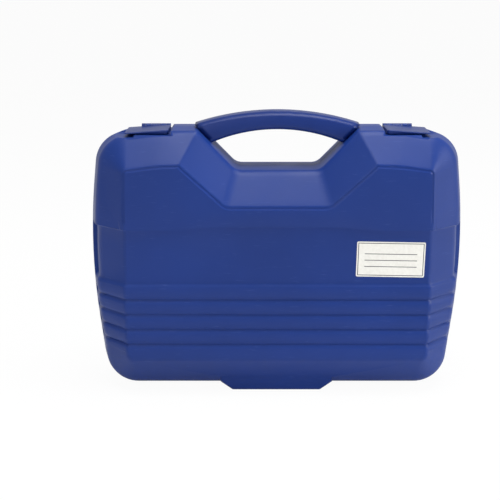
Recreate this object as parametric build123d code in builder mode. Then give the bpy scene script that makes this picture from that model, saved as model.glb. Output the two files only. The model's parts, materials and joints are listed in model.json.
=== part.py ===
"""Blow moulded tool case that stands on its hinge, with a lid, two flip latches and a carrying handle.

Millimetres. X runs along the case, Y from the lid at the front to the base at the back, Z up.
The halves part at y = 0. The origin is on the surface the case stands on, under its middle.
"""

import os
from math import atan2, degrees, radians, sqrt, tan

from build123d import *

os.makedirs("parts", exist_ok=True)

# Overall form. Each corner of the outline is (x, z) on the right half, from the bottom round to the recess.
stand_height = 6.2
top_height = 271.5
bulge_half_width = 194.2
bulge_height = 144.0
bottom_half_width = 178.0
corner_half_width = 181.2
corner_drop = 8.2
break_half_width = 108.0
shoulder_half_width = 80.0
recess_half_width = 41.0
recess_floor = 232.0
side_draft = 6.0
half_depth = 52.0
rim_depth = 26.0
rim_rounding = 4.0
rim_drop = 1.0
recess_draft = 0.5
panel_rounding = 2.0
parting_gap = 0.15
wall = 3.0
rim_wall_share = 0.3
panel_wall_share = 0.4

# Raised front and back panels, in the same order of corners as the outline.
panel_bottom = 40.5
panel_half_width = 152.0
panel_bulge = 1.5
panel_corner_height = 235.0
panel_break_half_width = 120.0
panel_break_height = 238.9
panel_shoulder_half_width = 97.0
panel_top = 240.0
panel_recess_half_width = 51.9
panel_recess_floor = 198.3
outline_radii = (32.0, 645.0, 33.0, 150.0, 5.0, 14.0)
panel_radii = (6.0, 900.0, 3.0, 100.0, 4.0, 14.0)

# Sunk band across the middle and the ribs under it.
waist_bottom = 120.0
waist_top = 173.6
waist_depth = 3.5
waist_slope = 2.6
waist_rise = 4.0
waist_rise_half_width = 62.0
waist_run_half_width = 105.0
flange = 5.0
rib_pitch = 15.7
lowest_groove = 56.6
groove_count = 4
groove_depth = 2.8
groove_half_width = 1.8
rib_shoulder_depth = 0.8
rib_flank = 4.4
rib_flank_depth = 0.25
border_groove_depth = 1.6
border_groove_half_width = 1.7
border_start_rise = 8.0
border_radius_gain = 1.0

# Hinge under the case.
hinge_height = 5.5
knuckle_radius = 5.0
knuckle_count = 5
knuckle_length = 17.6
knuckle_gap = 0.5
hinge_pin_radius = 2.0
running_clearance = 0.05
turning_gap = 0.4
boss_inner = 8.5
boss_outer = 33.0
boss_half_width = 58.0
foot_half_width = 45.5
boss_shoulder = 9.0
boss_top = 26.0
boss_chamfer = 1.5
boss_chamfer_limit = 19.0
hinge_wall = 3.5
plug_length = 3.0
plug_flange = 1.5
plug_flange_width = 1.2
pin_chamfer = 0.4

# Latches on the top wall.
latch_inner = 108.4
latch_length = 43.6
latch_side_gap = 0.6
latch_notch = 2.4
latch_floor = 266.1
latch_thickness = 4.6
latch_fall = 3.1
latch_lift = 0.4
latch_front = 23.0
latch_pivot = 18.0
latch_barrel_radius = 2.7
latch_barrel_length = 29.6
latch_pin_radius = 1.25
lug_width = 5.0
lug_inset = 4.5
lug_gap = 0.3
ridge_front = 19.5
ridge_width = 2.5
ridge_height = 0.9
snap_clearance = 0.2
ridge_inset = 2.0
ridge_relief = 0.6
latch_corner_rounding = 2.5
latch_edge_rounding = 1.2
latch_rear_relief = 0.8
latch_pin_inset = 1.0
latch_pin_play = 0.2
latch_pin_chamfer = 0.3
scoop_inset = 33.6
scoop_depth = 2.4
scoop_rear = 8.0

# Handle between the shoulders.
handle_top = 287.4
handle_end_height = 274.2
handle_inner_top = 269.8
handle_inner_end_height = 256.5
handle_depth = 28.0
handle_chamfer = 4.5
handle_seat_gap = 0.25
tenon_width = 9.0
tenon_length = 15.0
tenon_front = 3.0
tenon_depth = 10.0
tenon_clearance = 0.2
screw_reach = 9.0
screw_radius = 1.75
screw_head_radius = 3.4
screw_head_height = 2.0
screw_length = 22.0
screw_boss_radius = 5.0
screw_clearance = 0.1
screw_chamfer = 0.5
screw_slot = (3.6, 0.9)
screw_slot_depth = 1.2
tenon_drop = 2.5

# Soft lining, label.
lining_gap = 0.5
base_foam_front = 1.5
base_pad_thickness = 8.0
lid_foam_thickness = 24.0
foam_gap = 0.4
foam_rim = 14.0
foam_joint = 0.3
foam_inside = (-141.0, 149.0)
foam_inside_heights = (53.0, 203.0)
foam_walls = ((-3.0, 14.0), (106.0, 119.0))
foam_shelf_heights = (113.0, 127.0)
foam_block_top = 63.0
label_width = 68.0
label_height = 36.0
label_thickness = 0.25
label_rounding = 1.0
label_x = 112.5
label_z = 145.5
label_turn = -1.0


def mirrored(half):
    """Whole outline from its right half, anticlockwise from the bottom right corner."""
    right = [Vector(x, z) for x, z in half]
    left = [Vector(-point.X, point.Y) for point in reversed(right)]
    return right + left


parting_points = mirrored(
    [
        (bottom_half_width, stand_height),
        (bulge_half_width, bulge_height),
        (corner_half_width, top_height - corner_drop),
        (break_half_width, top_height),
        (shoulder_half_width, top_height),
        (recess_half_width, recess_floor),
    ]
)
rim_points = mirrored(
    [
        (bottom_half_width - side_draft, stand_height),
        (bulge_half_width - side_draft, bulge_height),
        (corner_half_width - side_draft, top_height - corner_drop),
        (break_half_width, top_height - rim_drop),
        (shoulder_half_width, top_height - rim_drop),
        (recess_half_width + recess_draft, recess_floor - rim_drop),
    ]
)
panel_points = mirrored(
    [
        (panel_half_width, panel_bottom),
        (panel_half_width + panel_bulge, bulge_height),
        (panel_half_width - panel_bulge, panel_corner_height),
        (panel_break_half_width, panel_break_height),
        (panel_shoulder_half_width, panel_top),
        (panel_recess_half_width, panel_recess_floor),
    ]
)
parting_radii = list(outline_radii) + list(reversed(outline_radii))
front_radii = list(panel_radii) + list(reversed(panel_radii))
least_radius = 0.4


def outline(draft, bevel, inset):
    """Corners and radii at a share of the rim's draft and of the bevel, moved in by an inset."""
    corners = [
        parting + (rim - parting) * draft + (panel - rim) * bevel
        for parting, rim, panel in zip(parting_points, rim_points, panel_points)
    ]
    radii = [a + (b - a) * bevel for a, b in zip(parting_radii, front_radii)]
    moved = []
    eased = []
    for index, corner in enumerate(corners):
        arriving = (corner - corners[index - 1]).normalized()
        leaving = (corners[(index + 1) % len(corners)] - corner).normalized()
        arriving_normal = Vector(-arriving.Y, arriving.X)
        leaving_normal = Vector(-leaving.Y, leaving.X)
        bisector = (arriving_normal + leaving_normal).normalized()
        moved.append(corner + bisector * (inset / bisector.dot(arriving_normal)))
        convex = arriving.cross(leaving).Z > 0
        eased.append(max(radii[index] + (-inset if convex else inset), least_radius))
    return moved, eased


def lofted(sections):
    """Solid through outlines, each given as depth, draft, bevel and inset."""
    with BuildPart(mode=Mode.PRIVATE) as form:
        for depth, draft, bevel, inset in sections:
            corners, radii = outline(draft, bevel, inset)
            with BuildSketch(Plane.XZ.offset(depth)):
                with BuildLine():
                    FilletPolyline(*[(c.X, c.Y) for c in corners], radius=radii, close=True)
                make_face()
        loft(ruled=True)
    return form.part


def bezier(start, middle, end, share):
    """Point on the curve that rounds a corner of a profile."""
    stay = 1 - share
    return tuple(
        stay * stay * a + 2 * stay * share * b + share * share * c
        for a, b, c in zip(start, middle, end)
    )


bevel_depth = half_depth - rim_depth
rim_share = rim_rounding / bevel_depth
panel_share = panel_rounding / bevel_depth
rim_start = (rim_depth - rim_rounding, 1 - rim_rounding / rim_depth, 0.0)
rim_corner = (rim_depth, 1.0, 0.0)
rim_end = (rim_depth + rim_rounding, 1.0, rim_share)
panel_start = (half_depth - panel_rounding, 1.0, 1 - panel_share)
panel_corner = (half_depth, 1.0, 1.0)
panel_end = (half_depth, 1.0, 1 + panel_share)


def outer_form():
    """Half of the case as a plain solid, its rim and panel edges rounded."""
    sections = [(parting_gap, parting_gap / rim_depth, 0.0, 0.0)]
    for share in (0.0, 0.33, 0.67, 1.0):
        sections.append((*bezier(rim_start, rim_corner, rim_end, share), 0.0))
    for share in (0.0, 0.5, 1.0):
        sections.append((*bezier(panel_start, panel_corner, panel_end, share), 0.0))
    return lofted(sections)


def inner_form(inset):
    """Space inside that form, left by a wall of the inset's thickness."""
    return lofted(
        [
            (0.0, 0.0, 0.0, inset),
            (rim_depth - rim_wall_share * inset, 1.0, 0.0, inset),
            (half_depth - inset, 1.0, 1.0, panel_wall_share * inset),
        ]
    )


def side_reach(points, radii, height):
    """Half width of an outline at a height on its bulging side."""
    lower, bulge, upper = points[0], points[1], points[2]
    radius = radii[1]
    arriving = (bulge - lower).normalized()
    leaving = (upper - bulge).normalized()
    turn = radians(arriving.get_angle(leaving))
    start = bulge - arriving * (radius * tan(turn / 2))
    end = bulge + leaving * (radius * tan(turn / 2))
    if height < start.Y:
        return lower.X + (height - lower.Y) * arriving.X / arriving.Y
    if height > end.Y:
        return upper.X + (height - upper.Y) * leaving.X / leaving.Y
    centre = start + Vector(-arriving.Y, arriving.X) * radius
    return centre.X + sqrt(radius**2 - (height - centre.Y) ** 2)


def crossing(point, direction, other, other_direction):
    """Where two lines of a plan meet."""
    along = (other - point).cross(other_direction).Z / direction.cross(other_direction).Z
    return point + direction * along


def plan_section(height, sunk, start_depth):
    """Right half of a level section, as (x, depth) points, with its skin sunk by an amount."""
    reach = side_reach(parting_points, parting_radii, height)
    rim = Vector(side_reach(rim_points, parting_radii, height), rim_depth)
    panel = Vector(side_reach(panel_points, front_radii, height), half_depth)
    side_way = (rim - Vector(reach, 0)).normalized()
    bevel_way = (panel - rim).normalized()
    side_in = Vector(-side_way.Y, side_way.X) * sunk
    bevel_in = Vector(-bevel_way.Y, bevel_way.X) * sunk
    level = Vector(0, half_depth - sunk)
    rim_sunk = crossing(rim + side_in, side_way, rim + bevel_in, bevel_way)
    panel_sunk = crossing(rim + bevel_in, bevel_way, level, Vector(1, 0))
    start = crossing(rim + side_in, side_way, Vector(0, start_depth), Vector(1, 0))
    points = [start]
    before = rim_sunk - side_way * rim_rounding
    after = rim_sunk + (panel - rim) * rim_share
    for share in (0.0, 0.33, 0.67, 1.0):
        points.append(Vector(*bezier(before, rim_sunk, after, share)))
    before = panel_sunk - (panel - rim) * panel_share
    after = panel_sunk - Vector((rim.X - panel.X) * panel_share, 0)
    for share in (0.0, 0.5, 1.0):
        points.append(Vector(*bezier(before, panel_sunk, after, share)))
    return points


def band(stations, start_depth):
    """Solid through level sections, given as (height, sunk) stations."""
    with BuildPart(mode=Mode.PRIVATE) as form:
        for height, sunk in stations:
            right = [(p.X, -p.Y) for p in plan_section(height, sunk, start_depth)]
            left = [(-x, y) for x, y in reversed(right)]
            with BuildSketch(Plane.XY.offset(height)):
                with BuildLine():
                    Polyline(*right, *left, close=True)
                make_face()
        loft(ruled=True)
    return form.part


def cuboid(x, y, z):
    """Box between limits, each given as (low, high)."""
    size = (x[1] - x[0], y[1] - y[0], z[1] - z[0])
    middle = ((x[0] + x[1]) / 2, (y[0] + y[1]) / 2, (z[0] + z[1]) / 2)
    return Pos(*middle) * Box(*size, mode=Mode.PRIVATE)


def rod(x, y, z, radius):
    """Cylinder along X between limits."""
    middle = Pos((x[0] + x[1]) / 2, y, z) * Rot(0, 90, 0)
    return middle * Cylinder(radius, x[1] - x[0], mode=Mode.PRIVATE)


def both_sides(solid):
    """A solid on the right with its mirror image on the left."""
    return [solid, solid.mirror(Plane.YZ)]


far = 2 * bulge_half_width
band_bottom = lowest_groove - rib_pitch / 2
band_top = waist_top + waist_slope

rib_stations = [(band_bottom, 0.0)]
for index in range(groove_count):
    groove = lowest_groove + index * rib_pitch
    rib_stations += [
        (groove - rib_flank, rib_flank_depth),
        (groove - groove_half_width, rib_shoulder_depth),
        (groove, groove_depth),
        (groove + groove_half_width, rib_shoulder_depth),
        (groove + rib_flank, rib_flank_depth),
        (groove + rib_pitch / 2, 0.0),
    ]
ledge_top = waist_bottom + waist_slope / 2
waist_stations = [
    (waist_bottom - 3.0, rib_flank_depth),
    (waist_bottom - waist_slope / 2, rib_shoulder_depth),
    (ledge_top, waist_depth),
    (ledge_top + (waist_top - ledge_top) / 3, waist_depth),
    (ledge_top + (waist_top - ledge_top) * 2 / 3, waist_depth),
    (waist_top, waist_depth),
    (band_top, 0.0),
]

# Space for the latches, cut into the top wall of both halves.
latch_outer = latch_inner + latch_length
recess_inner = latch_inner - latch_side_gap - latch_notch
latch_well = cuboid((recess_inner, far), (-half_depth, half_depth), (latch_floor, far))
scoop_inner = latch_inner + scoop_inset
latch_scoop = cuboid(
    (scoop_inner, far), (-half_depth, scoop_rear), (latch_floor - scoop_depth, far)
)
hinge_wall_top = hinge_height + knuckle_radius + hinge_wall


def thick_places(gap):
    """Places where the walls are thicker inside: under the latches and over the hinge."""
    both_ways = (-half_depth, half_depth)
    side = wall + gap
    well = cuboid((recess_inner - side, far), both_ways, (latch_floor - side, far))
    scoop_floor = latch_floor - scoop_depth
    scoop = cuboid((scoop_inner - side, far), both_ways, (scoop_floor - side, far))
    step = (-boss_half_width - side, boss_half_width + side)
    return both_sides(well) + both_sides(scoop) + [cuboid(step, both_ways, (0, hinge_wall_top + gap))]



def hollow(gap):
    """Inside of the front half, with a gap to its walls all round."""
    space = inner_form(wall + gap)
    core_bottom = band_bottom - wall
    core_top = band_top + wall
    space -= cuboid((-far, far), (-half_depth, 0), (core_bottom, core_top))
    sunk = waist_depth + wall + gap
    heights = [core_bottom]
    heights += [core_bottom + (core_top - core_bottom) * step / 8 for step in range(1, 9)]
    space += band([(height, sunk) for height in heights], 0.0)
    for solid in thick_places(gap):
        space -= solid
    return space


def shell_form():
    """Front half as a shell with its band, ribs and border groove, before hinge and latches."""
    form = outer_form()
    form -= cuboid((-far, far), (-half_depth - 1, -flange), (band_bottom, band_top))
    form += band(rib_stations + waist_stations, flange)
    floor_depth = half_depth - waist_depth
    with BuildPart(mode=Mode.PRIVATE) as rise:
        for depth, spread in ((floor_depth, 0.0), (half_depth + 1, waist_slope * (waist_depth + 1) / waist_depth)):
            with BuildSketch(Plane.XZ.offset(depth)):
                with BuildLine():
                    Polyline(
                        (-waist_run_half_width - spread, waist_top - 1),
                        (waist_run_half_width + spread, waist_top - 1),
                        (waist_run_half_width + spread, waist_top + spread),
                        (waist_rise_half_width + spread / 2, waist_top + waist_rise + spread),
                        (-waist_rise_half_width - spread / 2, waist_top + waist_rise + spread),
                        (-waist_run_half_width - spread, waist_top + spread),
                        close=True,
                    )
                make_face()
        loft(ruled=True)
    form -= rise.part
    corners, radii = outline(1.0, 1.0, 0.0)
    groove_corners = [(c.X, c.Y) for c in corners[2:10]]
    border_start = band_top + border_start_rise
    lower = (side_reach(panel_points, front_radii, border_start), border_start)
    route_corners = [lower] + groove_corners + [(-lower[0], lower[1])]
    with BuildPart(mode=Mode.PRIVATE) as border:
        with BuildLine(Plane.XZ.offset(half_depth)) as route:
            FilletPolyline(*route_corners, radius=[r + border_radius_gain for r in radii[2:10]])
        with BuildSketch(Plane(route.line @ 0, z_dir=route.line % 0, x_dir=(0, -1, 0))):
            with BuildLine():
                Polyline(
                    (-border_groove_depth, 0),
                    (1, border_groove_half_width * 2),
                    (1, -border_groove_half_width * 2),
                    close=True,
                )
            make_face()
        sweep(transition=Transition.ROUND)
    form -= border.part
    return form


front_form = shell_form()
front_hollow = hollow(0.0)

# Hinge boss and knuckles. The same boss stands under each half.
knuckle_pitch = knuckle_length + knuckle_gap
hinge_half_length = (knuckle_count * knuckle_pitch - knuckle_gap) / 2
knuckle_spans = [
    (-hinge_half_length + index * knuckle_pitch, -hinge_half_length + index * knuckle_pitch + knuckle_length)
    for index in range(knuckle_count)
]


def hinge_boss():
    """Foot with sloping ends under the front half."""
    with BuildPart(mode=Mode.PRIVATE) as boss:
        with BuildSketch(Plane.XZ.offset(boss_inner)):
            with BuildLine():
                Polyline(
                    (-foot_half_width, 0),
                    (foot_half_width, 0),
                    (boss_half_width, boss_shoulder),
                    (boss_half_width, boss_top),
                    (-boss_half_width, boss_top),
                    (-boss_half_width, boss_shoulder),
                    close=True,
                )
            make_face()
        extrude(amount=boss_outer - boss_inner)
        front_edges = boss.edges().group_by(Axis.Y)[0]
        low_edges = front_edges.filter_by(lambda edge: edge.center().Z < boss_chamfer_limit)
        chamfer(low_edges, boss_chamfer)
    return boss.part


boss_body = hinge_boss()


def hinged(form, side, own_spans):
    """Add the hinge of one half. Side is -1 in front and 1 behind."""
    boss = boss_body - front_hollow
    form += boss if side < 0 else boss.mirror(Plane.XZ)
    form -= rod((-boss_half_width - 1, boss_half_width + 1), 0, hinge_height, knuckle_radius + turning_gap)
    form -= cuboid(
        (-boss_half_width - 1, boss_half_width + 1), (-boss_inner, boss_inner), (-1, stand_height)
    )
    for span in own_spans:
        form += rod(span, 0, hinge_height, knuckle_radius)
        web = (0, boss_inner + 1) if side > 0 else (-boss_inner - 1, 0)
        form += cuboid(span, web, (hinge_height - knuckle_radius, hinge_height + knuckle_radius - 1))
    form -= rod(
        (-hinge_half_length - 1, hinge_half_length + 1),
        0,
        hinge_height,
        hinge_pin_radius + running_clearance,
    )
    return form


base_spans = knuckle_spans[0::2]
lid_spans = knuckle_spans[1::2]

# Lid: front half with the ridges that the latches snap over.
lid_form = front_form - front_hollow
for solid in both_sides(latch_well) + both_sides(latch_scoop):
    lid_form -= solid
lid_hinged = hinged(lid_form, -1, lid_spans)
with BuildPart() as lid_shell:
    add(lid_hinged)
    ridge_x = (latch_inner + lug_inset, scoop_inner - ridge_inset)
    with Locations(
        ((ridge_x[0] + ridge_x[1]) / 2, -ridge_front + ridge_width / 2, latch_floor),
        (-(ridge_x[0] + ridge_x[1]) / 2, -ridge_front + ridge_width / 2, latch_floor),
    ):
        Box(ridge_x[1] - ridge_x[0], ridge_width, 2 * ridge_height)
lid_shell.part.label = "lid_shell"
export_step(lid_shell.part, "parts/lid_shell.step")

# Handle: an arch between the two sloping shoulders, with a tenon at each end.
slope_start = Vector(recess_half_width, recess_floor)
slope_end = Vector(shoulder_half_width, top_height)
slope_way = (slope_end - slope_start).normalized()
slope_angle = degrees(atan2(slope_way.Y, slope_way.X))
slope_out = Vector(-slope_way.Y, slope_way.X)


def on_slope(height, out):
    """Point (x, z) on the right shoulder's slope at a height, moved out from it."""
    along = slope_start + slope_way * ((height - slope_start.Y) / slope_way.Y)
    return along + slope_out * out


outer_end = on_slope(handle_end_height, handle_seat_gap)
inner_end = on_slope(handle_inner_end_height, handle_seat_gap)
tenon_middle = (handle_end_height + handle_inner_end_height) / 2 - tenon_drop
tenon_plane_point = on_slope(tenon_middle, 0)
tenon_plane = Plane(
    origin=(tenon_plane_point.X, 0, tenon_plane_point.Y),
    x_dir=(slope_way.X, 0, slope_way.Y),
    z_dir=(-slope_out.X, 0, -slope_out.Y),
)
tenon_block = Box(tenon_width, tenon_depth, 2 * tenon_length, mode=Mode.PRIVATE)
tenon = Pos(0, tenon_front + tenon_depth / 2, 0) * (tenon_plane * tenon_block)
tenon &= cuboid((0, far), (-half_depth, half_depth), (0, handle_end_height - handle_chamfer))
with BuildPart() as handle:
    with BuildSketch(Plane.XZ):
        with BuildLine():
            outer = ThreePointArc(
                (-outer_end.X, outer_end.Y), (0, handle_top), (outer_end.X, outer_end.Y)
            )
            inner = ThreePointArc(
                (-inner_end.X, inner_end.Y), (0, handle_inner_top), (inner_end.X, inner_end.Y)
            )
            Line(outer @ 0, inner @ 0)
            Line(outer @ 1, inner @ 1)
        make_face()
    extrude(amount=handle_depth / 2, both=True)
    arcs = handle.edges().filter_by(GeomType.CIRCLE)
    fillet(arcs.group_by(Axis.Z)[0], handle_chamfer)
    arcs = handle.edges().filter_by(GeomType.CIRCLE)
    chamfer(arcs.group_by(Axis.Z)[-1], handle_chamfer)
    for solid in both_sides(tenon):
        add(solid)
    screw_point = tenon_plane_point - slope_out * screw_reach
    screw_places = [(screw_point.X, screw_point.Y), (-screw_point.X, screw_point.Y)]
    with BuildSketch(Plane.XZ):
        with Locations(*screw_places):
            Circle(screw_radius + screw_clearance)
    extrude(amount=-(tenon_front + tenon_depth + 1), mode=Mode.SUBTRACT)
handle.part.label = "handle"
export_step(handle.part, "parts/handle.step")

# Screws that hold the tenons to the base.
tenon_back = tenon_front + tenon_depth
with BuildPart() as handle_screws:
    with BuildSketch(Plane.XZ.offset(-tenon_front)):
        with Locations(*screw_places):
            Circle(screw_radius)
    extrude(amount=-screw_length)
    with BuildSketch(Plane.XZ.offset(-tenon_front)):
        with Locations(*screw_places):
            Circle(screw_head_radius)
    extrude(amount=screw_head_height)
    chamfer(handle_screws.faces().sort_by(Axis.Y)[0:2].edges(), screw_chamfer)
    with BuildSketch(Plane.XZ.offset(-tenon_front + screw_head_height)):
        with Locations(*screw_places):
            Rectangle(*screw_slot)
            Rectangle(*reversed(screw_slot))
    extrude(amount=-screw_slot_depth, mode=Mode.SUBTRACT)
handle_screws.part.label = "handle_screws"
export_step(handle_screws.part, "parts/handle_screws.step")

# Base: the same form turned about, with sockets for the handle and lugs for the latches.
base_form = front_form.mirror(Plane.XZ)
base_hollow = front_hollow.mirror(Plane.XZ)
with BuildPart(mode=Mode.PRIVATE) as screw_bosses:
    with BuildSketch(Plane.XZ.offset(-tenon_back - tenon_clearance)):
        with Locations(*screw_places):
            Circle(screw_boss_radius)
    extrude(amount=-(half_depth - tenon_back))
boss_solids = base_form & screw_bosses.part
base_solid = base_form - base_hollow + boss_solids
notch_size = tenon_width + 2 * tenon_clearance
notch_depth = tenon_back + tenon_clearance + 1
notch = Box(notch_size, notch_depth, 2 * (tenon_length + tenon_clearance), mode=Mode.PRIVATE)
notch_middle = (tenon_back + tenon_clearance - 1) / 2
for solid in both_sides(latch_well) + both_sides(latch_scoop):
    base_solid -= solid
for solid in both_sides(Pos(0, notch_middle, 0) * (tenon_plane * notch)):
    base_solid -= solid
pivot_height = latch_floor + latch_barrel_radius + lug_gap
barrel_end = latch_inner + latch_barrel_length
lug_starts = (latch_inner + lug_inset, barrel_end - lug_inset - lug_width)
for start in lug_starts:
    span = (start, start + lug_width)
    lug = rod(span, latch_pivot, pivot_height, latch_barrel_radius)
    foot = (latch_pivot - latch_barrel_radius + 0.2, latch_pivot + latch_barrel_radius)
    lug += cuboid(span, foot, (latch_floor - 0.5, pivot_height))
    for solid in both_sides(lug):
        base_solid += solid
pin_span = (latch_inner + latch_pin_inset, barrel_end - latch_pin_inset)
for solid in both_sides(rod(pin_span, latch_pivot, pivot_height, latch_pin_radius + running_clearance)):
    base_solid -= solid
base_hinged = hinged(base_solid, 1, base_spans)
with BuildPart() as base_shell:
    add(base_hinged)
    with BuildSketch(Plane.XZ.offset(-tenon_front)):
        with Locations(*screw_places):
            Circle(screw_radius)
    extrude(amount=-screw_length, mode=Mode.SUBTRACT)
base_shell.part.label = "base_shell"
export_step(base_shell.part, "parts/base_shell.step")

# Hinge pin, and the plugs that close its bore.
pin_end = hinge_half_length - plug_length
with BuildPart() as hinge_pin:
    add(rod((-pin_end + lug_gap, pin_end - lug_gap), 0, hinge_height, hinge_pin_radius))
    chamfer(hinge_pin.edges(), pin_chamfer)
hinge_pin.part.label = "hinge_pin"
export_step(hinge_pin.part, "parts/hinge_pin.step")
for side, name in ((-1, "hinge_plug_left"), (1, "hinge_plug_right")):
    with BuildPart() as hinge_plug:
        ends = sorted((side * pin_end, side * hinge_half_length))
        add(rod(ends, 0, hinge_height, hinge_pin_radius + running_clearance))
        ends = sorted((side * hinge_half_length, side * (hinge_half_length + plug_flange)))
        add(rod(ends, 0, hinge_height, hinge_pin_radius + plug_flange_width))
        outer_face = hinge_plug.faces().sort_by(Axis.X)[-1 if side > 0 else 0]
        chamfer(outer_face.edges(), pin_chamfer)
    hinge_plug.part.label = name
    export_step(hinge_plug.part, f"parts/{name}.step")

# Latches: a plate over the joint of the halves, with a barrel between the base's lugs.
plate_bottom = latch_floor + latch_lift
plate_back = latch_pivot - latch_barrel_radius - latch_rear_relief
ridge_top = latch_floor + ridge_height
nose_bottom = ridge_top + snap_clearance


def latch_solid():
    """Right latch."""
    with BuildPart(mode=Mode.PRIVATE) as latch:
        with BuildSketch(Plane.XZ.offset(-latch_pivot)):
            with BuildLine():
                Polyline(
                    (latch_inner, plate_bottom),
                    (latch_outer, plate_bottom),
                    (latch_outer, plate_bottom + latch_thickness - latch_fall),
                    (latch_inner, plate_bottom + latch_thickness),
                    close=True,
                )
            make_face()
        extrude(amount=latch_pivot + latch_front)
        uprights = latch.edges().filter_by(Axis.Z).group_by(Axis.Y)[0]
        fillet(uprights, latch_corner_rounding)
        fillet(latch.faces().sort_by(Axis.Z)[-1].edges(), latch_edge_rounding)
    solid = latch.part
    solid -= cuboid(
        (latch_inner - 1, latch_outer + 1),
        (-latch_front - 1, -ridge_front + ridge_width + ridge_inset),
        (plate_bottom - 1, nose_bottom),
    )
    solid -= cuboid(
        (ridge_x[0] - ridge_relief, ridge_x[1] + ridge_relief),
        (-ridge_front - ridge_relief, -ridge_front + ridge_width + ridge_inset),
        (plate_bottom - 1, ridge_top + 2 * snap_clearance + 0.5),
    )
    solid -= cuboid((latch_inner - 1, latch_outer + 1), (latch_pivot, latch_pivot + 9), (0, far))
    solid += rod((latch_inner, barrel_end), latch_pivot, pivot_height, latch_barrel_radius)
    for start in lug_starts:
        solid -= cuboid(
            (start - lug_gap, start + lug_width + lug_gap),
            (plate_back, latch_pivot + latch_barrel_radius + 1),
            (latch_floor, far),
        )
    solid -= rod(pin_span, latch_pivot, pivot_height, latch_pin_radius + running_clearance)
    return solid


right_latch = latch_solid()
for side, name in ((-1, "left"), (1, "right")):
    with BuildPart() as latch:
        add(right_latch if side > 0 else right_latch.mirror(Plane.YZ))
    latch.part.label = f"latch_{name}"
    export_step(latch.part, f"parts/latch_{name}.step")
    with BuildPart() as latch_pin:
        ends = sorted((side * (pin_span[0] + latch_pin_play), side * (pin_span[1] - latch_pin_play)))
        add(rod(ends, latch_pivot, pivot_height, latch_pin_radius))
        chamfer(latch_pin.edges(), latch_pin_chamfer)
    latch_pin.part.label = f"latch_pin_{name}"
    export_step(latch_pin.part, f"parts/latch_pin_{name}.step")

# Foam lining. The base has a cut sheet over a plain pad, the lid one soft sheet.
soft_space = hollow(lining_gap)
lining_depth = half_depth - waist_depth - wall - lining_gap
pad_front = lining_depth - base_pad_thickness
foam_limits = (-far, far)
foam_top = recess_floor - foam_rim
back_space = soft_space.mirror(Plane.XZ)
with BuildPart() as base_pad:
    add(back_space & cuboid(foam_limits, (pad_front, half_depth), (0, foam_top)))
base_pad.part.label = "base_pad"
export_step(base_pad.part, "parts/base_pad.step")

# Its sheet is built up from strips round the pockets, and walls between them.
foam_depths = (base_foam_front, pad_front - foam_gap)
foam_sheet = back_space & cuboid(foam_limits, foam_depths, (0, foam_top))
strip_span = (foam_inside[0] + foam_joint, foam_inside[1] - foam_joint)
wall_span = (foam_inside_heights[0] + foam_joint, foam_inside_heights[1] - foam_joint)
shelf_span = (foam_walls[0][1] + foam_joint, foam_walls[1][0] - foam_joint)
foam_pieces = [
    foam_sheet & cuboid((-far, foam_inside[0]), foam_depths, (0, far)),
    foam_sheet & cuboid((foam_inside[1], far), foam_depths, (0, far)),
    foam_sheet & cuboid(strip_span, foam_depths, (0, foam_inside_heights[0])),
    foam_sheet & cuboid(strip_span, foam_depths, (foam_inside_heights[1], far)),
    cuboid(foam_walls[0], foam_depths, wall_span),
    cuboid(foam_walls[1], foam_depths, wall_span),
    cuboid(shelf_span, foam_depths, foam_shelf_heights),
    cuboid(shelf_span, foam_depths, (wall_span[0], foam_block_top)),
]
with BuildPart() as base_foam:
    for solid in foam_pieces:
        add(solid)
base_foam.part.label = "base_foam"
export_step(base_foam.part, "parts/base_foam.step")

with BuildPart() as lid_foam:
    add(soft_space & cuboid(foam_limits, (-half_depth, -lining_depth + lid_foam_thickness), (0, foam_top)))
lid_foam.part.label = "lid_foam"
export_step(lid_foam.part, "parts/lid_foam.step")

# Write-on label on the sunk band.
with BuildPart() as label:
    with BuildSketch(Plane.XZ.offset(half_depth - waist_depth)):
        with Locations(Location((label_x, label_z), label_turn)):
            RectangleRounded(label_width, label_height, label_rounding)
    extrude(amount=label_thickness)
label.part.label = "label"
export_step(label.part, "parts/label.step")
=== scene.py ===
# %% [markdown]
# A moulded tool case in a white studio, built around its packed construction model.
# The construction model already holds every rigid piece at its real size, so this lesson
# spends its time on what the eye reads as real: smooth shading, moulded grain, soft foam and
# a film label. It begins by loading that model, because every later piece is placed from it.

import json
from math import cos, pi, radians

import bpy
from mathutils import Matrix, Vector


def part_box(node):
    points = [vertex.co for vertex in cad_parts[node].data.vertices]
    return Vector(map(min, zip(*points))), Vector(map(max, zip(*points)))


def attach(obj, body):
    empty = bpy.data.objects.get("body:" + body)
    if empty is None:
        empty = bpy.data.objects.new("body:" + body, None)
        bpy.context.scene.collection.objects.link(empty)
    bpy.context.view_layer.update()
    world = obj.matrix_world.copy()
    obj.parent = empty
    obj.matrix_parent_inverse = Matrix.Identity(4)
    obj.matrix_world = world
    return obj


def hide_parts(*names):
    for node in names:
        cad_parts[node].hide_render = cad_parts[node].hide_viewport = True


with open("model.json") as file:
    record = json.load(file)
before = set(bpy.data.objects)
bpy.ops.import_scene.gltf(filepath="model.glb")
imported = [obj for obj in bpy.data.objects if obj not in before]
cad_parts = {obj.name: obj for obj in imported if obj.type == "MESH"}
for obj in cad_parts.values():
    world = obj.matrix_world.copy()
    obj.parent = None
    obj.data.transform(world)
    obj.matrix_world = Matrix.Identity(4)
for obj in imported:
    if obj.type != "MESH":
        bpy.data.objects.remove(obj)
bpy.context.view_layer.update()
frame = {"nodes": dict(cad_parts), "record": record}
MM = 0.001

# %% [markdown]
# The photograph was taken a little left of the middle and looking fifteen degrees down. A long
# lens keeps the sides of the case nearly parallel. The camera's place was worked out from the
# case's width, its foot and its top wall, so it is written here as real distances.

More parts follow.
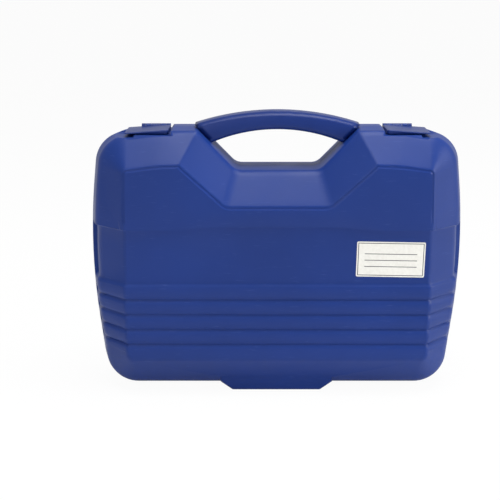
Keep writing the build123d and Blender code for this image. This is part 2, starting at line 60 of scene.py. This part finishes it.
# %% Camera
CAMERA_PLACE = (-0.0274, -1.0625, 0.4270)
CAMERA_PITCH = radians(15)
FRAME_PIXELS = 500
FOCAL_PIXELS = 1058.6
SENSOR_WIDTH = 36.0

camera_data = bpy.data.cameras.new("camera")
camera_data.sensor_width = SENSOR_WIDTH
camera_data.lens = FOCAL_PIXELS / FRAME_PIXELS * SENSOR_WIDTH
camera = bpy.data.objects.new("camera", camera_data)
bpy.context.scene.collection.objects.link(camera)
camera.location = CAMERA_PLACE
camera.rotation_euler = (pi / 2 - CAMERA_PITCH, 0, 0)
bpy.context.scene.camera = camera
print("lens", round(camera_data.lens, 1), "mm")


# %% [markdown]
# Colours are written as they look on a screen, as sRGB hex values, and a shader wants linear
# light. One function does the change. The others each add one kind of node with its settings
# and its links, so that a material below reads as a short list of what it is made of. A link
# may name its socket by number, as some nodes have two sockets of one name.

# %% Helpers for colours and nodes
SRGB_TOE = 0.04045
MIX_FIRST, MIX_SECOND, MIX_RESULT = 6, 7, 2
PLAIN_WHITE = (1, 1, 1, 1)


def linear(hex_colour):
    """Linear RGBA of an sRGB hex colour."""
    channels = [int(hex_colour[i : i + 2], 16) / 255 for i in (1, 3, 5)]
    return tuple(
        c / 12.92 if c <= SRGB_TOE else ((c + 0.055) / 1.055) ** 2.4 for c in channels
    ) + (1,)


def set_up(tree, node, settings=None, links=None):
    """Settings are attributes or sockets of a node, links are what goes into its sockets."""
    for name, value in (settings or {}).items():
        if isinstance(name, str) and hasattr(node, name):
            setattr(node, name, value)
        else:
            node.inputs[name].default_value = value
    for name, source in (links or {}).items():
        tree.links.new(source, node.inputs[name])
    return node


def add_node(tree, kind, settings=None, links=None):
    """A new node of one kind."""
    return set_up(tree, tree.nodes.new("ShaderNode" + kind), settings, links)


def maths(tree, operation, *values):
    """Output of a sum. Each value is a number or a socket."""
    node = add_node(tree, "Math", {"operation": operation})
    for index, value in enumerate(values):
        if isinstance(value, bpy.types.NodeSocket):
            tree.links.new(value, node.inputs[index])
        else:
            node.inputs[index].default_value = value
    return node.outputs[0]


def remap(tree, value, low, high, to_low=0.0, to_high=1.0):
    """A value's range from low to high, held within to_low and to_high."""
    limits = {"From Min": low, "From Max": high, "To Min": to_low, "To Max": to_high}
    return add_node(tree, "MapRange", limits, {"Value": value}).outputs["Result"]


def noise(tree, place, size_mm, detail, roughness=0.5):
    """Noise whose largest patches are about size_mm across."""
    settings = {"Scale": 1 / (size_mm * MM), "Detail": detail, "Roughness": roughness}
    return add_node(tree, "TexNoise", settings, {"Vector": place}).outputs["Fac"]


def ramp(tree, value, low_colour, high_colour, low=0.0, high=1.0):
    """Colour that goes from one to the other as a value goes from low to high."""
    node = add_node(tree, "ValToRGB", None, {"Fac": value})
    stops = ((low, low_colour), (high, high_colour))
    for stop, (position, colour) in zip(node.color_ramp.elements, stops):
        stop.position = position
        stop.color = colour
    return node.outputs["Color"]


def mix_colour(tree, factor, first, second):
    """First colour, a socket, giving way to a plain second colour as the factor rises."""
    settings = {"data_type": "RGBA", MIX_SECOND: second}
    node = add_node(tree, "Mix", settings, {"Factor": factor, MIX_FIRST: first})
    return node.outputs[MIX_RESULT]


def bump(tree, height, strength, distance_mm, normal=None):
    """Normal of a surface raised by a height of up to distance_mm."""
    links = {"Height": height}
    if normal is not None:
        links["Normal"] = normal
    settings = {"Strength": strength, "Distance": distance_mm * MM}
    return add_node(tree, "Bump", settings, links).outputs["Normal"]


def new_material(name):
    """Material with its tree, its shader, and its object coordinates."""
    material = bpy.data.materials.new(name)
    material.use_nodes = True
    tree = material.node_tree
    place = add_node(tree, "TexCoord").outputs["Object"]
    return material, tree, tree.nodes["Principled BSDF"], place


# %% [markdown]
# The shells are high density polyethylene, blown against a sandblasted mould. That leaves a
# fine even grain, a soft satin gloss and very slight waves where the wall cooled unevenly. The
# colour is in the plastic, so wear shows as polished or dusty pale edges and fine scuffs, never
# as another colour beneath. A bevel node rounds the sharp edges of the model by a little over
# half a millimetre as the light meets them. Comparing its normal with the plain one also finds
# those edges, and that is where the wear goes. The real grain is about 0.3 mm and would not
# show from a metre away, so it is drawn at three times that.

# %% Satin moulded plastics
GRAIN_MM = 0.9
GRAIN_DEPTH_MM = 0.06
CLOUD_MM = 110.0
CLOUD_SPREAD = 0.07
CLOUD_RANGE = (0.3, 0.7)
WAVE_MM = 45.0
WAVE_DEPTH_MM = 1.2
SHEEN_MM = 35
SHEEN_RANGE = (0.3, 0.7)
EASED_EDGE_MM = 0.6
EDGE_TURN = (0.995, 0.9)  # cosines of the angle at which wear begins and is full
EDGE_WEAR = 0.5
WEAR_PATCH_MM = 9
WEAR_PATCH_RANGE = (0.42, 0.66)
SCUFF_WIDTH_MM, SCUFF_LENGTH_MM = 1.1, 14.0
SCUFF_TURN = radians(14)
SCUFF_RANGE = (0.66, 0.76)
SCUFF_WEAR = 0.14
WEAR_DULLS = 0.4
PLASTIC_IOR = 1.51
PLASTIC_SPECULAR = 0.22


def moulded_plastic(name, hex_colour, worn_hex, roughness, wave_strength):
    """Satin moulded plastic with grain, slow waves, scuffs and pale worn edges."""
    material, tree, shader, place = new_material(name)
    base, worn = linear(hex_colour), linear(worn_hex)
    darker, lighter = (
        tuple(c * share for c in base[:3]) + (1,)
        for share in (1 - CLOUD_SPREAD, 1 + CLOUD_SPREAD)
    )
    tone = ramp(tree, noise(tree, place, CLOUD_MM, 3.0), darker, lighter, *CLOUD_RANGE)

    # Where the rounded normal leaves the plain one there is an edge. Noise breaks the wear up.
    eased = add_node(tree, "Bevel", {"samples": 4, "Radius": EASED_EDGE_MM * MM}).outputs[0]
    plain = add_node(tree, "NewGeometry").outputs["Normal"]
    turned = add_node(tree, "VectorMath", {"operation": "DOT_PRODUCT"}, {0: eased, 1: plain})
    edge = remap(tree, turned.outputs["Value"], *EDGE_TURN, 0.0, EDGE_WEAR)
    broken = remap(tree, noise(tree, place, WEAR_PATCH_MM, 5.0), *WEAR_PATCH_RANGE)
    wear = maths(tree, "MULTIPLY", edge, broken)

    # Scuffs are short strokes that lie mostly along the case.
    along, across = 1 / (SCUFF_LENGTH_MM * MM), 1 / (SCUFF_WIDTH_MM * MM)
    stretched = add_node(
        tree,
        "Mapping",
        {"Scale": (along, along, across), "Rotation": (0, SCUFF_TURN, 0)},
        {"Vector": place},
    )
    strokes = add_node(
        tree, "TexNoise", {"Scale": 1.0, "Detail": 2.0}, {"Vector": stretched.outputs[0]}
    )
    scuff = remap(tree, strokes.outputs["Fac"], *SCUFF_RANGE, 0.0, SCUFF_WEAR)
    rubbed = maths(tree, "MAXIMUM", wear, scuff)

    # Gloss wanders a little over the wall, and the rubbed places are duller.
    sheen = noise(tree, place, SHEEN_MM, 4.0)
    gloss = remap(tree, sheen, *SHEEN_RANGE, roughness - 0.05, roughness + 0.06)

    grain = noise(tree, place, GRAIN_MM, 2.0, 0.6)
    grained = bump(tree, grain, 0.3, GRAIN_DEPTH_MM, eased)
    waves = noise(tree, place, WAVE_MM, 1.0)
    set_up(
        tree,
        shader,
        {"IOR": PLASTIC_IOR, "Specular IOR Level": PLASTIC_SPECULAR},
        {
            "Base Color": mix_colour(tree, rubbed, tone, worn),
            "Roughness": maths(tree, "MULTIPLY_ADD", rubbed, WEAR_DULLS, gloss),
            "Normal": bump(tree, waves, wave_strength, WAVE_DEPTH_MM, grained),
        },
    )
    return material


SHELL_BLUE = "#163278"
SHELL_WORN = "#5A6FA8"
HANDLE_BLUE = "#152C6C"
HANDLE_WORN = "#5468A0"
shell_plastic = moulded_plastic(
    "satin blown polyethylene", SHELL_BLUE, SHELL_WORN, roughness=0.40, wave_strength=0.20
)
handle_plastic = moulded_plastic(
    "satin moulded polypropylene", HANDLE_BLUE, HANDLE_WORN, roughness=0.34, wave_strength=0.08
)
print("plastics ready")

# %% [markdown]
# The hinge pin, the latch pivots and the two screws are mild steel with a thin bright zinc
# plating. Zinc is a pale bluish grey metal, and its plating has a fine spangle that varies
# the gloss.

# %% Zinc plated steel
SPANGLE_MM = 1.1
STEEL_ROUGHNESS = (0.26, 0.42)
ZINC_DARK, ZINC_PALE = "#B0B3B5", "#CACCCB"


def plated_steel():
    """Bright zinc over steel."""
    material, tree, shader, place = new_material("zinc plated steel")
    spangle = noise(tree, place, SPANGLE_MM, 3.0)
    gloss = remap(tree, spangle, 0.0, 1.0, *STEEL_ROUGHNESS)
    tint = ramp(tree, spangle, linear(ZINC_DARK), linear(ZINC_PALE))
    set_up(tree, shader, {"Metallic": 1.0}, {"Roughness": gloss, "Base Color": tint})
    return material


steel = plated_steel()

# %% [markdown]
# The lining is charcoal polyurethane foam, cut from a block. A cut goes through thousands of
# small open cells, so the surface is a dense field of pits with thin rims and no gloss at all.
# Real cells are near 0.5 mm, drawn here at 1.6 mm so that they show. A Voronoi pattern makes
# the cells. Their colour holds painted shade and painted light: dark in the middle of each pit,
# pale on the rims.

# %% Open cell foam
CELL_MM = 1.6
CELL_DEPTH_MM = 0.5
CELL_RIM = 0.6
FOAM_PAINTED_PIT_SHADE, FOAM_PAINTED_RIM_LIGHT = "#191A1D", "#404247"


def cut_foam():
    """Charcoal foam with open cells, with painted shade in the pits and painted light on the
    rims.
    """
    material, tree, shader, place = new_material("open cell polyurethane foam")
    cells = add_node(tree, "TexVoronoi", {"Scale": 1 / (CELL_MM * MM)}, {"Vector": place})
    depth = cells.outputs["Distance"]
    # Painted shade and painted light: the colour goes from dark at a cell's middle to pale at
    # its rim.
    shade = ramp(tree, depth, linear(FOAM_PAINTED_PIT_SHADE), linear(FOAM_PAINTED_RIM_LIGHT), high=CELL_RIM)
    pits = bump(tree, depth, 0.8, CELL_DEPTH_MM)
    set_up(
        tree,
        shader,
        {"Roughness": 0.95, "Specular IOR Level": 0.1},
        {"Base Color": shade, "Normal": pits},
    )
    return material


foam = cut_foam()

# %% [markdown]
# The label is white satin film with a black printed frame and ruled lines to write on. The
# print is drawn by arithmetic: the label's own place is moved to zero and turned level, and
# then a frame or a line is simply where a distance is smaller than half the line's width. A
# soft edge keeps it from looking cut.

# %% Printed label film
label_low, label_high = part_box("label")
LABEL_MIDDLE = (label_low + label_high) / 2
LABEL_SIZE = (68.0, 36.0)
LABEL_TURN = radians(-1)
FRAME_INSET_MM = 1.6
LINE_MM = 0.55
LINE_FADE_MM = 0.15
RULED_HEIGHTS_MM = (5.5, -1.0, -7.5)
RULED_HALF_MM = 26.0
FIBRE_MM = 2.5
BUBBLE_MM = 7
BUBBLE_DEPTH_MM = 0.4
FILM_SHADED, FILM_WHITE = "#DCDAD2", "#F1F0EA"
INK = "#2B2D33"


def label_film():
    """White film with a thin frame and ruled lines."""
    material, tree, shader, place = new_material("satin printed label film")
    level = add_node(
        tree,
        "Mapping",
        {"vector_type": "TEXTURE", "Location": LABEL_MIDDLE, "Rotation": (0, -LABEL_TURN, 0)},
        {"Vector": place},
    )
    split = add_node(tree, "SeparateXYZ", None, {0: level.outputs[0]})

    def near(value, target_mm, half_mm):
        """1 where a value is within half_mm of a target, falling to 0 softly."""
        size = maths(tree, "ABSOLUTE", maths(tree, "SUBTRACT", value, target_mm * MM))
        return remap(tree, size, (half_mm + LINE_FADE_MM) * MM, half_mm * MM)

    across = maths(tree, "ABSOLUTE", split.outputs["X"])
    up = maths(tree, "ABSOLUTE", split.outputs["Z"])
    frame_x, frame_z = (size / 2 - FRAME_INSET_MM for size in LABEL_SIZE)
    half_line = LINE_MM / 2
    sides = maths(tree, "MULTIPLY", near(across, frame_x, half_line), near(up, 0, frame_z))
    ends = maths(tree, "MULTIPLY", near(up, frame_z, half_line), near(across, 0, frame_x))
    ink = maths(tree, "MAXIMUM", sides, ends)
    for height in RULED_HEIGHTS_MM:
        on_line = near(split.outputs["Z"], height, half_line)
        ruled = maths(tree, "MULTIPLY", on_line, near(across, 0, RULED_HALF_MM))
        ink = maths(tree, "MAXIMUM", ink, ruled)
    fibre = noise(tree, place, FIBRE_MM, 4.0)
    paper = ramp(tree, fibre, linear(FILM_SHADED), linear(FILM_WHITE))
    bubbles = noise(tree, place, BUBBLE_MM, 1.0)
    set_up(
        tree,
        shader,
        {"Roughness": 0.45},
        {
            "Base Color": mix_colour(tree, ink, paper, linear(INK)),
            "Normal": bump(tree, bubbles, 0.35, BUBBLE_DEPTH_MM),
        },
    )
    return material


label_print = label_film()
print("label middle", [round(c, 4) for c in LABEL_MIDDLE])


# %% [markdown]
# The construction model comes in as loose triangles with flat shading, so its round walls
# would show facets. A copy of the mesh is merged, which joins the triangles, and then shaded
# smooth wherever two faces meet at less than a set angle. Weighted normals keep the wide flat
# panels flat beside the rounded edges. The copy stands for the node, which stays hidden
# underneath for collision.

# %% Smooth dressed copies of the rigid pieces
MERGE_DISTANCE = 0.002 * MM
RECORD = frame["record"]
BODY_OF = {
    node: body for body, nodes in RECORD["behaviour"]["bodies"].items() for node in nodes
}


def select_only(thing):
    """Nothing selected but one object, which is also the active one."""
    bpy.ops.object.select_all(action="DESELECT")
    thing.select_set(True)
    bpy.context.view_layer.objects.active = thing


def merged_copy(node, name):
    """Joined and selected copy of a node's mesh as a new object at the origin."""
    piece = bpy.data.objects.new(name, frame["nodes"][node].data.copy())
    bpy.context.scene.collection.objects.link(piece)
    select_only(piece)
    bpy.ops.object.mode_set(mode="EDIT")
    bpy.ops.mesh.select_all(action="SELECT")
    bpy.ops.mesh.remove_doubles(threshold=MERGE_DISTANCE)
    bpy.ops.object.mode_set(mode="OBJECT")
    piece.data.materials.clear()
    return piece


def hand_over(piece, node, material):
    """The piece gets its finish and stands for its node."""
    piece.data.materials.append(material)
    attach(piece, BODY_OF[node])
    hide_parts(node)


def dressed(node, name, material, angle):
    """Smooth copy of a rigid node."""
    piece = merged_copy(node, name)
    bpy.ops.object.shade_smooth_by_angle(angle=radians(angle))
    weighted = piece.modifiers.new("weighted", "WEIGHTED_NORMAL")
    weighted.keep_sharp = True
    bpy.ops.object.modifier_apply(modifier=weighted.name)
    print(name, len(piece.data.polygons), "faces")
    hand_over(piece, node, material)


# Each node's piece, finish, and the angle in degrees under which two faces look smooth.
RIGID_PIECES = {
    "lid_shell": ("front_shell", shell_plastic, 38),
    "base_shell": ("rear_shell", shell_plastic, 38),
    "handle": ("carrying_handle", handle_plastic, 40),
    "latch_left": ("left_flip_latch", handle_plastic, 35),
    "latch_right": ("right_flip_latch", handle_plastic, 35),
    "hinge_pin": ("hinge_rod", steel, 30),
    "latch_pin_left": ("left_pivot_rod", steel, 30),
    "latch_pin_right": ("right_pivot_rod", steel, 30),
    "handle_screws": ("tenon_screws", steel, 30),
    "hinge_plug_left": ("left_bore_plug", handle_plastic, 30),
    "hinge_plug_right": ("right_bore_plug", handle_plastic, 30),
}
for node, (name, material, angle) in RIGID_PIECES.items():
    dressed(node, name, material, angle)

# %% [markdown]
# Foam has no sharp edges: where it is cut, the corners relax into a small round. A voxel
# remesh joins the strips of a sheet into one even skin of small faces, and smoothing relaxes
# its corners. Smoothing only draws the skin inwards at a corner, so the sheet still sits in
# the room that the case leaves for it.

# %% Foam sheets
FOAM_VOXEL = 2.6 * MM
PAD_VOXEL = 1.5 * FOAM_VOXEL
FOAM_RELAX = 8
RELAX_SHARE = 0.5


def soft_sheet(node, name, voxel):
    """Foam sheet with an even skin and relaxed corners."""
    piece = merged_copy(node, name)
    remesh = piece.modifiers.new("skin", "REMESH")
    remesh.mode = "VOXEL"
    remesh.voxel_size = voxel
    relax = piece.modifiers.new("relax", "SMOOTH")
    relax.factor = RELAX_SHARE
    relax.iterations = FOAM_RELAX
    for modifier in ("skin", "relax"):
        bpy.ops.object.modifier_apply(modifier=modifier)
    bpy.ops.object.shade_smooth()
    print(name, len(piece.data.polygons), "faces")
    return piece


hand_over(soft_sheet("base_foam", "pocket_foam", FOAM_VOXEL), "base_foam", foam)
hand_over(soft_sheet("base_pad", "floor_foam", PAD_VOXEL), "base_pad", foam)

# %% [markdown]
# The lid is lined with convoluted foam, the egg crate kind, whose rounded peaks press on the
# tools. Its knives leave a field of hills and hollows a finger's width apart. The hills keep
# the sheet's full thickness and the hollows are sunk into it, by a cosine along the case and
# one up it. Near the sheet's rim the pattern dies away, as the trimmed edge is left plain.

# %% Convoluted lid foam
HILL_PITCH = 26.0 * MM
HILL_HEIGHT = 11.0 * MM
PLAIN_RIM = 10.0 * MM
FACE_DEPTH = 4 * MM
FACING_INWARDS = 0.4

lid_sheet = soft_sheet("lid_foam", "hill_foam", FOAM_VOXEL)
low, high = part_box("lid_foam")
for vertex in lid_sheet.data.vertices:
    place = vertex.co
    if vertex.normal.y > FACING_INWARDS and place.y > high.y - FACE_DEPTH:
        rim = min(place.x - low.x, high.x - place.x, place.z - low.z, high.z - place.z)
        share = max(0.0, min(1.0, (rim - PLAIN_RIM) / PLAIN_RIM))
        wave = cos(2 * pi * place.x / HILL_PITCH) * cos(2 * pi * place.z / HILL_PITCH)
        place.y -= HILL_HEIGHT * share * (0.5 - 0.5 * wave)
hand_over(lid_sheet, "lid_foam", foam)

# %% [markdown]
# The label is one thin sheet stuck to the sunk band, very slightly turned, as a hand puts it
# on. A plane is stretched to its size, its corners are rounded by a bevel on the corner points
# alone, and Solidify gives it the thickness of film.

# %% Label
FILM_THICKNESS = 0.22 * MM
LABEL_CORNER = 1.4 * MM
CORNER_SEGMENTS = 5

bpy.ops.object.select_all(action="DESELECT")
bpy.ops.mesh.primitive_plane_add(size=1, location=(0, 0, 0))
sticker = bpy.context.object
sticker.name = "write_on_label"
sticker.scale = (LABEL_SIZE[0] * MM, LABEL_SIZE[1] * MM, 1)
bpy.ops.object.transform_apply(location=False, rotation=False, scale=True)
bpy.ops.object.mode_set(mode="EDIT")
bpy.ops.mesh.select_all(action="SELECT")
bpy.ops.mesh.bevel(offset=LABEL_CORNER, segments=CORNER_SEGMENTS, affect="VERTICES")
bpy.ops.object.mode_set(mode="OBJECT")
sticker.rotation_euler = (pi / 2, -LABEL_TURN, 0)
sticker.location = (LABEL_MIDDLE.x, label_high.y, LABEL_MIDDLE.z)
bpy.ops.object.transform_apply(location=True, rotation=True, scale=True)
thick = sticker.modifiers.new("film", "SOLIDIFY")
thick.thickness = FILM_THICKNESS
thick.offset = 1.0
bpy.ops.object.modifier_apply(modifier=thick.name)
hand_over(sticker, "label", label_print)
print("label faces", len(sticker.data.polygons))


# %% [markdown]
# The object stands on a white floor under plain soft light. The floor and the world are white
# to what the camera sees, while the light on the case stays plain. Reflections see part of
# that white, enough for metal to look right without a pale veil over the satin plastic. The
# floor keeps a share of its real shading, which is where the soft contact shadow comes from.

# %% Studio floor and world
FLOOR_SIZE = 60.0
FLOOR_WHITE = "#F4F4F4"
SHOWN_WHITE = 0.95
WORLD_LIGHT = 0.36
REFLECTED_SHARE = 0.35


def seen_share(tree):
    """1 for camera and glass rays, a share for mirror rays, 0 for rays that light the case."""
    path = add_node(tree, "LightPath")
    seen = maths(tree, "MULTIPLY", path.outputs["Is Glossy Ray"], REFLECTED_SHARE)
    for ray in ("Is Camera Ray", "Is Transmission Ray"):
        seen = maths(tree, "MAXIMUM", seen, path.outputs[ray])
    return seen


def mix_shaders(tree, factor, first, second):
    """One shader giving way to another as the factor rises."""
    links = {0: factor, 1: first.outputs[0], 2: second.outputs[0]}
    return add_node(tree, "MixShader", None, links).outputs[0]


def white_floor():
    """Wide white floor at the height of the case's foot."""
    bpy.ops.object.select_all(action="DESELECT")
    bpy.ops.mesh.primitive_plane_add(size=FLOOR_SIZE, location=(0, 0, 0))
    floor = bpy.context.object
    floor.name = "studio_floor"
    material = bpy.data.materials.new("white studio floor")
    material.use_nodes = True
    tree = material.node_tree
    tree.nodes.clear()
    diffuse = add_node(tree, "BsdfDiffuse", {"Color": linear(FLOOR_WHITE)})
    white = add_node(tree, "Emission", {"Color": PLAIN_WHITE, "Strength": 1.0})
    share = maths(tree, "MULTIPLY", seen_share(tree), SHOWN_WHITE)
    surface = mix_shaders(tree, share, diffuse, white)
    add_node(tree, "OutputMaterial", None, {"Surface": surface})
    floor.data.materials.append(material)


def white_world():
    """Soft light from all round, shown as white."""
    world = bpy.data.worlds.new("studio")
    bpy.context.scene.world = world
    world.use_nodes = True
    tree = world.node_tree
    tree.nodes.clear()
    soft = add_node(tree, "Background", {"Color": PLAIN_WHITE, "Strength": WORLD_LIGHT})
    white = add_node(tree, "Background", {"Color": PLAIN_WHITE, "Strength": 1.0})
    surface = mix_shaders(tree, seen_share(tree), soft, white)
    add_node(tree, "OutputWorld", None, {"Surface": surface})


bpy.context.scene.view_settings.view_transform = "Standard"
white_floor()
white_world()


# %% [markdown]
# Three large lamps light the case, as softboxes would. The one above makes the handle, the top
# wall and the sloping bevels pale, the one at the right brightens that side, and a weak one in
# front fills the panels. Large lamps give soft shadows and broad, calm highlights.

# %% Lamps
def lamp(name, place, target, size, power):
    """Rectangular area lamp that faces a target, in metres and watts."""
    data = bpy.data.lights.new(name, "AREA")
    data.shape = "RECTANGLE"
    data.size, data.size_y = size
    data.energy = power
    light = bpy.data.objects.new(name, data)
    bpy.context.scene.collection.objects.link(light)
    light.location = place
    facing = Vector(target) - Vector(place)
    light.rotation_euler = facing.to_track_quat("-Z", "Y").to_euler()


lamp("top softbox", (0.1, -0.15, 1.5), (0, 0, 0.1), (1.2, 0.8), 19)
lamp("front softbox", (-0.9, -1.6, 0.9), (0, 0, 0.15), (1.0, 1.0), 7)
lamp("right softbox", (1.5, -0.5, 0.6), (0, 0, 0.15), (0.8, 1.2), 17)
